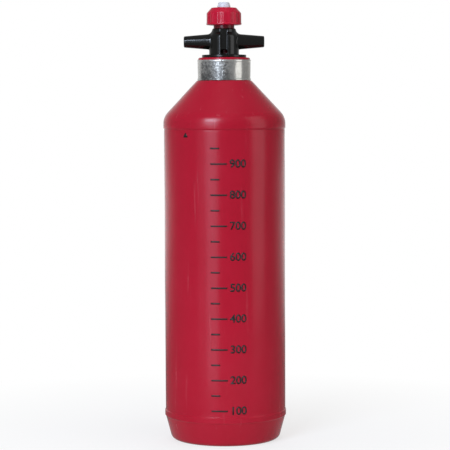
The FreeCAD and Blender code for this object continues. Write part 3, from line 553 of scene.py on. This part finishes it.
ferrule_chain = rounded_chain([
    (FERRULE_INNER, FERRULE_START),
    (FERRULE_INNER, CONE_TOP, 0.15),
    (FERRULE, CONE_TOP, 0.5),
    (FERRULE, CONE_TOP + 1.3, 0.5),
    (FERRULE - FACE_SUNK, CONE_TOP + 1.6, 0.2),
    (FERRULE - FACE_SUNK_TOP, RIM_TOP - 1.5, 0.25),
    (FERRULE, RIM_TOP - 1.2, 0.25),
    (FERRULE, RIM_TOP, 0.44),
    (RIM_INNER, RIM_TOP, 0.08),
    (RIM_INNER, RIM_LOW),
    (FERRULE_INNER, RIM_LOW),
    (FERRULE_INNER, FERRULE_START),
], longest=0.8)[:-1]
make_piece("ferrule_ring", [turned(ferrule_chain, even_angles(160), True, ferrule_dents)],
           "bottle", ferrule_metal, "neck_ferrule")


# Valve housing, from a distance field that is sampled and turned into a mesh

FLANGE = 15.1
FLANGE_TOP = 262.4
BARREL = 9.95
BARREL_LOW = LIP_TOP + 0.5
BARREL_TOP = 276.0
COLLAR = 8.05
COLLAR_TOP = 280.2
FLARE = 3.2
SPIGOT = 12.3
SPIGOT_LOW = 245.5
SPIGOT_HIGH = LIP_TOP + 0.8
WING_LEVEL = 271.2
WING_ROOT = 7.6
WING_TIP = 27.35
WING_ROOT_RADIUS = 5.45
WING_TIP_RADIUS = 3.78
WING_ROUNDING = 0.8
CHANNEL_HALF = 2.25
CHANNEL_FLOOR = 7.65
CHANNEL_ROUNDING = 0.3
PORT_HALF = 1.05
PORT_RADIUS = 1.35
PORT_LEVEL = 264.45

# Hollows inside the housing: radii, and the heights where they end
SEAT_POCKET = 9.8
SEAT_POCKET_TOP = 248.0
CHAMBER = 9.3
CHAMBER_TOP = 258.2
TAPER_LOW = 258.0
TAPER_TOP = 261.5
UPPER_CHAMBER = 6.0
UPPER_CHAMBER_TOP = 268.5
STEM_BORE = 3.1
RING_POCKET = 4.65
RING_POCKET_LOW = 270.95
COLLAR_BORE = 7.15
COLLAR_BORE_LOW = 272.5

# The box in which the field is sampled, and the size of its cells
FIELD_LOW = (-28.2, -15.9, 244.9)
FIELD_HIGH = (28.2, 15.9, 280.9)
FIELD_CELL = 0.32
FIELD_LIMIT = 10.0
SLOPE_REACH = 0.02


def joined(first, second, rounding):
    """Two forms in one, with a rounded inside corner."""
    near = np.hypot(np.maximum(rounding - first, 0), np.maximum(rounding - second, 0))
    return np.maximum(rounding, np.minimum(first, second)) - near


def common(first, second, rounding):
    """What two forms share, with a rounded outside corner."""
    near = np.hypot(np.maximum(rounding + first, 0), np.maximum(rounding + second, 0))
    return np.minimum(-rounding, np.maximum(first, second)) + near


def disc(radius, height, outside, low, high, rounding):
    return common(radius - outside, np.abs(height - (low + high) / 2) - (high - low) / 2, rounding)


def housing_bore(radius, height):
    """The hollows inside the housing, from the seat's pocket up to the collar's bore."""
    cone = (radius - CHAMBER + height - CHAMBER_TOP) / math.sqrt(2)
    return np.minimum.reduce((
        np.maximum(radius - SEAT_POCKET, height - SEAT_POCKET_TOP),
        np.maximum(radius - CHAMBER, height - CHAMBER_TOP),
        np.maximum.reduce((cone, height - TAPER_TOP, TAPER_LOW - height)),
        np.maximum(radius - UPPER_CHAMBER, height - UPPER_CHAMBER_TOP),
        radius - STEM_BORE,
        np.maximum(radius - RING_POCKET, RING_POCKET_LOW - height),
        np.maximum(radius - COLLAR_BORE, COLLAR_BORE_LOW - height),
    ))


def wing_field(x, y, z):
    """The two round wings, which taper towards their tips."""
    along = np.abs(x)
    taper = (WING_TIP_RADIUS - WING_ROOT_RADIUS) / (WING_TIP - WING_ROOT)
    wing_radius = WING_ROOT_RADIUS + (along - WING_ROOT) * taper
    side = (np.hypot(y, z - WING_LEVEL) - wing_radius) * math.cos(math.atan(taper))
    return np.maximum(common(side, along - WING_TIP, WING_ROUNDING), WING_ROOT - along)


def housing_field(x, y, z):
    """Flange, barrel, collar and wings, less the channels and the port, with the spigot and the hollows."""
    radius = np.hypot(x, y)
    body = disc(radius, z, FLANGE, LIP_TOP, FLANGE_TOP, 0.35)
    body = joined(body, disc(radius, z, BARREL, BARREL_LOW, BARREL_TOP, 1.8), 0.7)
    collar = disc(radius, z, COLLAR, BARREL_LOW, COLLAR_TOP, 0.9)
    body = joined(body, collar, FLARE)
    wing = wing_field(x, y, z)
    body = np.minimum(joined(body, wing, WING_ROUNDING), joined(collar, wing, FLARE))
    channel = common(np.abs(x) - CHANNEL_HALF, CHANNEL_FLOOR - np.abs(y), CHANNEL_ROUNDING)
    channel = common(channel, FLANGE_TOP - z, CHANNEL_ROUNDING)
    body = common(body, -channel, 0.6)
    port = np.hypot(np.maximum(np.abs(x) - PORT_HALF, 0), z - PORT_LEVEL) - PORT_RADIUS
    body = common(body, -port, 0.15)
    body = np.minimum(body, disc(radius, z, SPIGOT, SPIGOT_LOW, SPIGOT_HIGH, 0.4))
    return np.maximum(body, -housing_bore(radius, z))


def field_slope(field, places):
    """The direction in which a field grows fastest."""
    slope = np.empty_like(places)
    for axis in range(3):
        offset = np.zeros(3)
        offset[axis] = SLOPE_REACH
        slope[:, axis] = field(*(places + offset).T) - field(*(places - offset).T)
    length = np.linalg.norm(slope, axis=1, keepdims=True)
    return slope / np.maximum(length, 1e-9)


def field_mesh(field, low, high, cell):
    """Vertices and faces where a distance field is zero, drawn onto the true surface."""
    axes = [np.arange(a, b + cell, cell) for a, b in zip(low, high)]
    values = field(*np.meshgrid(*axes, indexing="ij"))
    grid = openvdb.FloatGrid(FIELD_LIMIT)
    grid.copyFromArray(np.clip(values, -FIELD_LIMIT, FIELD_LIMIT).astype(np.float32))
    places, quads = grid.convertToQuads(0.0)
    places = places.astype(float) * cell + np.array([axis[0] for axis in axes])
    for _ in range(2):
        slope = field_slope(field, places)
        places -= slope * np.clip(field(*places.T), -cell / 2, cell / 2)[:, None]
    return places, quads.astype(int).tolist()


housing_form = field_mesh(housing_field, FIELD_LOW, FIELD_HIGH, FIELD_CELL)
spigot_thread = thread(SPIGOT_THREAD_LOW, THREAD_HIGH, THREAD_PITCH, SPIGOT - THREAD_SUNK,
                       SPIGOT + THREAD_DEPTH, THREAD_FOOT_HALF, THREAD_CREST_HALF)
housing = make_piece("valve_head_housing", [housing_form, spigot_thread], "valve_head",
                     housing_black, "valve_housing")
sharpen(housing, 60)


# Knob

KNOB_LOW = 282.5
KNOB_RIM = 12.0
KNOB_SIDE = 11.8
KNOB_BEVEL_LOW = 290.5
KNOB_CROWN = 8.45
RECESS = 4.75
RECESS_LOW = 287.0
SKIRT_BORE = 10.0
SKIRT_ROOF = 288.5
HUB = 7.05
HUB_BORE = 5.65
HUB_LOW = 275.6
WASHER_TOP = 283.0
KNOB_BORE = 3.2
KNOB_THREAD_LOW = 283.7
KNOB_THREAD_HIGH = 286.3
KNOB_THREAD_PITCH = 2.0
KNOB_THREAD_DEPTH = 0.6

FLUTES = 16
FLUTE_STEPS = 16
FLUTE_LOW = 283.6
FLUTE_DEPTH = 0.5
FLUTE_LAND = 0.8
FLUTE_FADE = 0.35
FLUTE_MARGIN = 0.02
FLUTE_SIDE_SOFT = 0.07
FLUTE_TOP_SOFT = 0.25


def soft_positive(value, softness):
    """The value where it is positive and nearly zero elsewhere, with a soft bend between."""
    return (value + np.sqrt(value ** 2 + softness ** 2)) / 2


def knob_flutes(radius, height, angle):
    """Round flutes up the side and across the bevel, with a ridge at the front."""
    period = FULL_TURN / FLUTES
    from_middle = (angle / period) % 1 - 0.5
    across = from_middle * period * KNOB_RIM
    half = math.pi * KNOB_RIM / FLUTES - FLUTE_LAND / 2
    depth = soft_positive(FLUTE_DEPTH * (1 - (across / half) ** 2), FLUTE_SIDE_SOFT)
    side = KNOB_SIDE + FLUTE_MARGIN - depth
    fade = np.clip((height - FLUTE_LOW) / FLUTE_FADE, 0, 1)
    fade = fade * fade * (3 - 2 * fade)
    cut = soft_positive(radius - side, FLUTE_TOP_SOFT) * fade
    return radius - cut * on_outside(radius.shape, knob_outer_rows), height


knob_outer = rounded_chain([
    (SKIRT_BORE, KNOB_LOW),
    (KNOB_RIM, KNOB_LOW, 0.6),
    (KNOB_SIDE, KNOB_BEVEL_LOW, 1.2),
    (KNOB_CROWN, KNOB_TOP, 0.7),
    (RECESS, KNOB_TOP),
], longest=0.3)
knob_inner = rounded_chain([
    (RECESS, KNOB_TOP),
    (RECESS, RECESS_LOW),
    (KNOB_BORE, RECESS_LOW),
    (KNOB_BORE, WASHER_TOP),
    (HUB_BORE, WASHER_TOP),
    (HUB_BORE, HUB_LOW, 0.1),
    (HUB, HUB_LOW, 0.3),
    (HUB, SKIRT_ROOF, 0.5),
    (SKIRT_BORE, SKIRT_ROOF, 0.5),
    (SKIRT_BORE, KNOB_LOW),
], longest=1.5)
knob_outer_rows = len(knob_outer)
knob_chain = np.concatenate([knob_outer, knob_inner[1:-1]])
knob_form = turned(knob_chain, even_angles(FLUTES * FLUTE_STEPS), True, knob_flutes)
knob_thread = thread(KNOB_THREAD_LOW, KNOB_THREAD_HIGH, KNOB_THREAD_PITCH, KNOB_BORE + THREAD_SUNK,
                     KNOB_BORE - KNOB_THREAD_DEPTH, 0.5, 0.25, steps=40)
knob = make_piece("fluted_knob", [knob_form, knob_thread], "knob", knob_red, "lock_knob")
sharpen(knob, 45)


# Stem cap

CAP_LOW = 290.2
CAP_TOP = 297.9
CAP_FOOT = 4.5
CAP_SIDE = 4.45
CAP_BEND = KNOB_TOP + 1.0
CAP_TIP = 3.6
CAP_BORE = 2.45
CAP_BORE_TOP = 295.5
DIMPLE_OUTER = 1.0
DIMPLE_INNER = 0.8
DIMPLE_DEPTH = 0.18

cap_chain = rounded_chain([
    (0, CAP_BORE_TOP),
    (CAP_BORE, CAP_BORE_TOP),
    (CAP_BORE, CAP_LOW),
    (CAP_FOOT, CAP_LOW, 0.2),
    (CAP_SIDE, CAP_BEND, 0.8),
    (CAP_TIP, CAP_TOP, 0.8),
    (DIMPLE_OUTER, CAP_TOP, 0.15),
    (DIMPLE_INNER, CAP_TOP - DIMPLE_DEPTH, 0.1),
    (0, CAP_TOP - DIMPLE_DEPTH),
], longest=0.7)
cap_form = turned(cap_chain, even_angles(72), False)
cap = make_piece("white_cap", [cap_form], "stem", cap_white, "stem_cap")
sharpen(cap, 45)


# Return spring with closed ends, in two lengths that meet at the stem's level

SPRING_RADIUS = 4.8
HALF_WIRE = 0.4
WIRE_SIDES = 12
SPRING_TURNS = 6
TURN_STEPS = 40
CLOSED_PITCH = 0.85
LOWER_SHARE = 0.6

spring_low, spring_high = (corner.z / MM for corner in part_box("return_spring"))
spring_climb = spring_high - spring_low - 2 * HALF_WIRE
spring_turns = np.linspace(0, SPRING_TURNS, SPRING_TURNS * TURN_STEPS + 1)
spring_rise = np.interp(spring_turns, (0, 1, SPRING_TURNS - 1, SPRING_TURNS),
                        (0, CLOSED_PITCH, spring_climb - CLOSED_PITCH, spring_climb))
spring_places = np.stack([
    SPRING_RADIUS * np.cos(FULL_TURN * spring_turns),
    SPRING_RADIUS * np.sin(FULL_TURN * spring_turns),
    spring_low + HALF_WIRE + spring_rise,
], axis=-1)
spring_rings = wire_rings(spring_places, HALF_WIRE, WIRE_SIDES)
spring_cut = int(np.searchsorted(spring_rise, spring_climb * LOWER_SHARE))
cut_level = spring_places[spring_cut, 2]
for name, rings, bodies, start, finish in (
    ("return_spring_lower", spring_rings[:spring_cut + 1], ("valve_head", "stem"),
     spring_low + 2 * HALF_WIRE, cut_level - HALF_WIRE),
    ("return_spring_upper", spring_rings[spring_cut:], ("stem", "washer"),
     cut_level + HALF_WIRE, spring_high - 2 * HALF_WIRE),
):
    wire = (rings.reshape(-1, 3), swept_faces(len(rings) - 1, WIRE_SIDES))
    spring = make_piece(name, [wire], None, small_steel, "return_spring")
    sharpen(spring, 60)
    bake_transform(spring)


# Pieces that keep their own shapes

for node, material in (
    ("neck_gasket", black_rubber),
    ("valve_seat", natural_plastic),
    ("valve_seal", black_rubber),
    ("valve_disc", natural_plastic),
    ("disc_clip", small_steel),
    ("valve_stem", stem_red),
    ("stem_oring", black_rubber),
    ("gland_washer", small_steel),
    ("thrust_washer", small_steel),
):
    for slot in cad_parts[node].material_slots:
        slot.material = material


# Printed scale: strokes for every fifty millilitres and plain numbers for every hundred, at the heights that
# these volumes reach

PRINT_LIFT = 0.05
PRINT_DEPTH = 0.08
PRINT_BOLD = 0.13
STROKE_VOLUME = 50
NUMBER_VOLUME = 100
FULL_VOLUME = 1000
STROKE_LEFT = -9.5
LONG_STROKE_RIGHT = 1.5
SHORT_STROKE_RIGHT = -3.5
STROKE_HALF = 0.5
STROKE_STEP = 1.2
FIGURE_LEFT = 3.2
FIGURE_SIZE = 7.5
FILL_MARK_MIDDLE = -28.0
FILL_MARK_LOW = 207.2
FILL_MARK_WIDTH = 4.1
FILL_MARK_HEIGHT = 3.2
CUBIC_MM_IN_ML = 1000


def fill_height(volume):
    """The height in the bottle that a volume in millilitres reaches."""
    radius, height = inner_chain[::-1].T
    squares = radius[1:] ** 2 + radius[1:] * radius[:-1] + radius[:-1] ** 2
    slices = math.pi / 3 * np.diff(height) * squares / CUBIC_MM_IN_ML
    return float(np.interp(volume, np.concatenate([[0], np.cumsum(slices)]), height))


def on_wall(flat):
    """Flat print, (across, up, out) in millimetres, laid round the front of the wall."""
    flat = np.asarray(flat, float)
    angle = -math.pi / 2 + flat[:, 0] / WALL_OUTER
    radius = WALL_OUTER + PRINT_LIFT + flat[:, 2]
    return np.stack([radius * np.cos(angle), radius * np.sin(angle), flat[:, 1]], axis=-1)


def stroke(left, right, low, high):
    """A printed bar, divided so that it follows the wall."""
    count = max(1, math.ceil((right - left) / STROKE_STEP))
    across = np.linspace(left, right, count + 1)
    section = ((low, 0), (high, 0), (high, PRINT_DEPTH), (low, PRINT_DEPTH))
    places = [(x, up, out) for x in across for up, out in section]
    return on_wall(places), swept_faces(count, len(section))


def numeral(text, left, middle, size):
    """Printed figures that start at left and are centred on a height."""
    curve = bpy.data.curves.new("figures", "FONT")
    curve.body = text
    curve.size = size
    curve.align_y = "CENTER"
    curve.extrude = PRINT_DEPTH / 2
    curve.offset = PRINT_BOLD
    holder = bpy.data.objects.new("figures", curve)
    bpy.context.scene.collection.objects.link(holder)
    bpy.context.view_layer.update()
    mesh = bpy.data.meshes.new_from_object(holder.evaluated_get(bpy.context.evaluated_depsgraph_get()))
    flat = np.array([vertex.co for vertex in mesh.vertices])
    faces = [list(polygon.vertices) for polygon in mesh.polygons]
    flat += (left, middle, PRINT_DEPTH / 2)
    bpy.data.objects.remove(holder)
    bpy.data.curves.remove(curve)
    bpy.data.meshes.remove(mesh)
    return on_wall(flat), faces


def fill_mark(middle, low, width, height):
    """A small solid triangle that points up to the highest fill."""
    outline = ((middle - width / 2, low), (middle, low), (middle + width / 2, low), (middle, low + height))
    places = [(x, up, out) for out in (0, PRINT_DEPTH) for x, up in outline]
    faces = [[0, 1, 3], [1, 2, 3], [4, 5, 7], [5, 6, 7]]
    faces += [[a, b, b + 4, a + 4] for a, b in ((0, 1), (1, 2), (2, 3), (3, 0))]
    return on_wall(places), faces


marks = [fill_mark(FILL_MARK_MIDDLE, FILL_MARK_LOW, FILL_MARK_WIDTH, FILL_MARK_HEIGHT)]
for volume in range(NUMBER_VOLUME, FULL_VOLUME, STROKE_VOLUME):
    level = fill_height(volume)
    numbered = volume % NUMBER_VOLUME == 0
    right = LONG_STROKE_RIGHT if numbered else SHORT_STROKE_RIGHT
    marks.append(stroke(STROKE_LEFT, right, level - STROKE_HALF, level + STROKE_HALF))
    if numbered:
        marks.append(numeral(str(volume), FIGURE_LEFT, level, FIGURE_SIZE))
make_piece("printed_scale", marks, "bottle", print_black)


# Camera

CAMERA_PLACE = Vector((0.00013, -1.262, 0.235))
CAMERA_PITCH = math.radians(4.011)
CAMERA_ROLL = math.radians(-0.245)

camera_data = bpy.data.cameras.new("camera")
camera_data.sensor_width = 36
camera_data.lens = 148
camera = bpy.data.objects.new("camera", camera_data)
camera.location = CAMERA_PLACE
camera.rotation_mode = "QUATERNION"
looking = Vector((0, math.cos(CAMERA_PITCH), -math.sin(CAMERA_PITCH)))
camera.rotation_quaternion = looking.to_track_quat("-Z", "Y") @ Quaternion((0, 0, 1), CAMERA_ROLL)
bpy.context.scene.collection.objects.link(camera)
bpy.context.scene.camera = camera


# Floor and world: white where the camera sees them, dimmer in reflections

# How bright the world is as soft light, and how bright the room is in reflections
AMBIENT = 0.15
ROOM = 0.24
WHITE = (1, 1, 1, 1)

FLOOR_HALF = 3
FLOOR_FRONT = -0.3
FLOOR_BACK = 6
FLOOR_PALE = (0.86, 0.86, 0.86)
FLOOR_DEEPER = (0.84, 0.84, 0.84)
FLOOR_CLOUDS = 6

# Distances from the bottle's axis over which the floor turns plain white, and over which it is lighter in
# reflections, and the stretch behind the bottle over which its reflection grows
FLOOR_WHITENS = (0.05, 0.3)
FLOOR_WHITE_SHARE = 0.7
FLOOR_CLOSE = (0.06, 0.11)
FLOOR_CLOSE_LIGHT = 0.4
FLOOR_BRIGHTENS = (0.3, 1.5)
FLOOR_BACK_LIGHT = 0.8

# Directions over which the backdrop comes and goes in reflections: it lies behind, is low, and is dimmer to
# the right
BACKDROP_BACK = (0.5, 0.9)
BACKDROP_LOW = (0.15, 0.65)
BACKDROP_RIGHT = (0.1, 0.6)
BACKDROP_LIGHT = 0.5
BACKDROP_RIGHT_SHARE = 0.4


def floor_material():
    """A pale matt floor that keeps the shadow beside the bottle."""
    material, tree, shader = new_material("floor")
    shader.inputs["Roughness"].default_value = 0.9
    shader.inputs["Specular IOR Level"].default_value = 0.0
    clouds = spread(tree, noise(tree, FLOOR_CLOUDS), 0, 1)
    tree.links.new(mix_colour(tree, clouds, FLOOR_PALE, FLOOR_DEEPER), shader.inputs["Base Color"])

    place = tree.nodes.new("ShaderNodeTexCoord")
    length = tree.nodes.new("ShaderNodeVectorMath")
    length.operation = "LENGTH"
    tree.links.new(place.outputs["Object"], length.inputs[0])
    from_axis = length.outputs["Value"]

    rays = tree.nodes.new("ShaderNodeLightPath")
    glossy = rays.outputs["Is Glossy Ray"]
    direct = combine(tree, "MAXIMUM", rays.outputs["Is Camera Ray"], rays.outputs["Is Transmission Ray"])
    direct = combine(tree, "MULTIPLY", direct, spread(tree, from_axis, FLOOR_WHITE_SHARE, 1.0, *FLOOR_WHITENS))

    away = place_in_model(tree, "Y")
    mirrored = spread(tree, away, ROOM, ROOM + FLOOR_BACK_LIGHT, *FLOOR_BRIGHTENS)
    close = spread(tree, from_axis, FLOOR_CLOSE_LIGHT, 0.0, *FLOOR_CLOSE)
    mirrored = combine(tree, "MAXIMUM", mirrored, close)
    strength = tree.nodes.new("ShaderNodeMix")
    tree.links.new(glossy, strength.inputs[0])
    strength.inputs[2].default_value = 1.0
    tree.links.new(mirrored, strength.inputs[3])

    glow = tree.nodes.new("ShaderNodeEmission")
    glow.inputs["Color"].default_value = WHITE
    tree.links.new(strength.outputs[0], glow.inputs["Strength"])
    layers = tree.nodes.new("ShaderNodeMixShader")
    tree.links.new(combine(tree, "MAXIMUM", direct, glossy), layers.inputs["Fac"])
    tree.links.new(shader.outputs["BSDF"], layers.inputs[1])
    tree.links.new(glow.outputs["Emission"], layers.inputs[2])
    tree.links.new(layers.outputs["Shader"], tree.nodes["Material Output"].inputs["Surface"])
    return material


def make_world():
    """White to the camera, soft light for the object, and a dim room with a white backdrop in reflections."""
    world = bpy.data.worlds.new("studio")
    bpy.context.scene.world = world
    world.use_nodes = True
    tree = world.node_tree
    background = tree.nodes["Background"]
    background.inputs["Color"].default_value = WHITE

    rays = tree.nodes.new("ShaderNodeLightPath")
    direct = combine(tree, "MAXIMUM", rays.outputs["Is Camera Ray"], rays.outputs["Is Transmission Ray"])
    plain = spread(tree, direct, AMBIENT, 1.0, 0, 1)

    way = tree.nodes.new("ShaderNodeTexCoord")
    parts = tree.nodes.new("ShaderNodeSeparateXYZ")
    tree.links.new(way.outputs["Generated"], parts.inputs["Vector"])
    back = spread(tree, parts.outputs["Y"], 0.0, BACKDROP_LIGHT, *BACKDROP_BACK)
    low = spread(tree, parts.outputs["Z"], 1.0, 0.0, *BACKDROP_LOW)
    right = spread(tree, parts.outputs["X"], 1.0, BACKDROP_RIGHT_SHARE, *BACKDROP_RIGHT)
    backdrop = combine(tree, "MULTIPLY", combine(tree, "MULTIPLY", back, low), right)
    room = combine(tree, "ADD", backdrop, ROOM)
    extra = combine(tree, "SUBTRACT", room, AMBIENT)
    mirrored = combine(tree, "MULTIPLY", rays.outputs["Is Glossy Ray"], extra)
    tree.links.new(combine(tree, "ADD", plain, mirrored), background.inputs["Strength"])


floor_mesh = bpy.data.meshes.new("floor")
floor_mesh.from_pydata([
    (-FLOOR_HALF, FLOOR_FRONT, 0),
    (FLOOR_HALF, FLOOR_FRONT, 0),
    (FLOOR_HALF, FLOOR_BACK, 0),
    (-FLOOR_HALF, FLOOR_BACK, 0),
], [], [(0, 1, 2, 3)])
floor_mesh.materials.append(floor_material())
floor = bpy.data.objects.new("floor", floor_mesh)
bpy.context.scene.collection.objects.link(floor)
make_world()


# Lamps

def lamp(name, azimuth, elevation, width, height, power, mirrored=True, colour=(1, 1, 1),
         distance=1.6, aim=0.15):
    """A soft box that looks at a height on the bottle's axis.

    Azimuth 0 is in front and grows to the right. Angles are in degrees and power is in watts."""
    data = bpy.data.lights.new(name, "AREA")
    data.shape = "RECTANGLE"
    data.size = width
    data.size_y = height
    data.energy = power
    data.color = colour
    box = bpy.data.objects.new(name, data)
    turn, rise = math.radians(azimuth), math.radians(elevation)
    target = Vector((0, 0, aim))
    away = Vector((math.sin(turn) * math.cos(rise), -math.cos(turn) * math.cos(rise), math.sin(rise)))
    box.location = target + away * distance
    box.rotation_euler = away.to_track_quat("Z", "Y").to_euler()
    box.visible_glossy = mirrored
    box.visible_camera = False
    bpy.context.scene.collection.objects.link(box)


COOL = (0.84, 0.96, 1.16)
lamp("key", -24, 2, 0.6, 0.9, 2.6, colour=COOL)
lamp("key_tail", -44, 4, 0.45, 0.9, 0.5, colour=COOL)
lamp("key_upper", -26, 12.5, 0.64, 0.4, 2.9, colour=COOL)
lamp("high", -26, 31, 0.62, 0.5, 13.6, colour=COOL)
lamp("side", 67, 18, 0.85, 1.6, 4.6)
lamp("low", 0, -2, 0.4, 0.02, 0.05, mirrored=False, distance=0.2, aim=0.02)
lamp("front", 18, 42, 1.0, 1.0, 1.6, mirrored=False)
lamp("left", -75, 24, 1.0, 1.0, 0.4, mirrored=False)
lamp("top", 0, 80, 1.0, 1.0, 6.0, mirrored=False)
lamp("back", 180, 28, 1.2, 1.2, 9.0, mirrored=False)

bpy.context.scene.view_settings.view_transform = "Standard"
